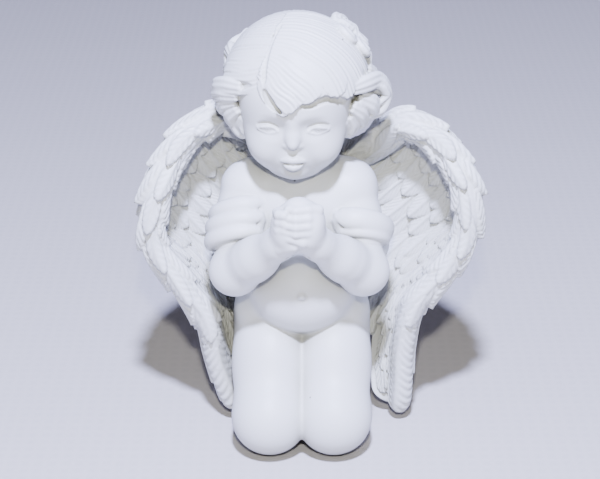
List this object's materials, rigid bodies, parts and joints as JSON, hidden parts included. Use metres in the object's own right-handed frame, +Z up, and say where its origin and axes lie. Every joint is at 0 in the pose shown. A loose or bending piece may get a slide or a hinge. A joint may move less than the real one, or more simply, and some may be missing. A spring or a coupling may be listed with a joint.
{
  "type": "cherub figurine",
  "caption": "Small cast figurine of a kneeling winged cherub with clasped hands, an off-the-shoulder drape and large cupped wings.",
  "frame": {"origin": "middle of the base of the bounding box, on the surface the figurine stands on", "axes": "+Z up; the cherub faces -Y; +X is the figure's own left"},
  "size_m": [0.0932, 0.0682, 0.1199],
  "materials": {
    "cast_resin": "matte white paint over cast polyester resin",
    "dowel_steel": "drawn steel pin",
    "pad_felt": "off-white felt"
  },
  "bodies": {
    "root": {"body_casting": "cast_resin", "head_casting": "cast_resin", "clasped_arms_casting": "cast_resin", "left_wing_casting": "cast_resin", "right_wing_casting": "cast_resin", "neck_dowel": "dowel_steel", "left_arm_dowel": "dowel_steel", "right_arm_dowel": "dowel_steel", "left_wing_upper_dowel": "dowel_steel", "left_wing_lower_dowel": "dowel_steel", "right_wing_upper_dowel": "dowel_steel", "right_wing_lower_dowel": "dowel_steel", "left_knee_pad": "pad_felt", "right_knee_pad": "pad_felt", "left_shin_pad": "pad_felt", "right_shin_pad": "pad_felt"}
  },
  "joints": []
}
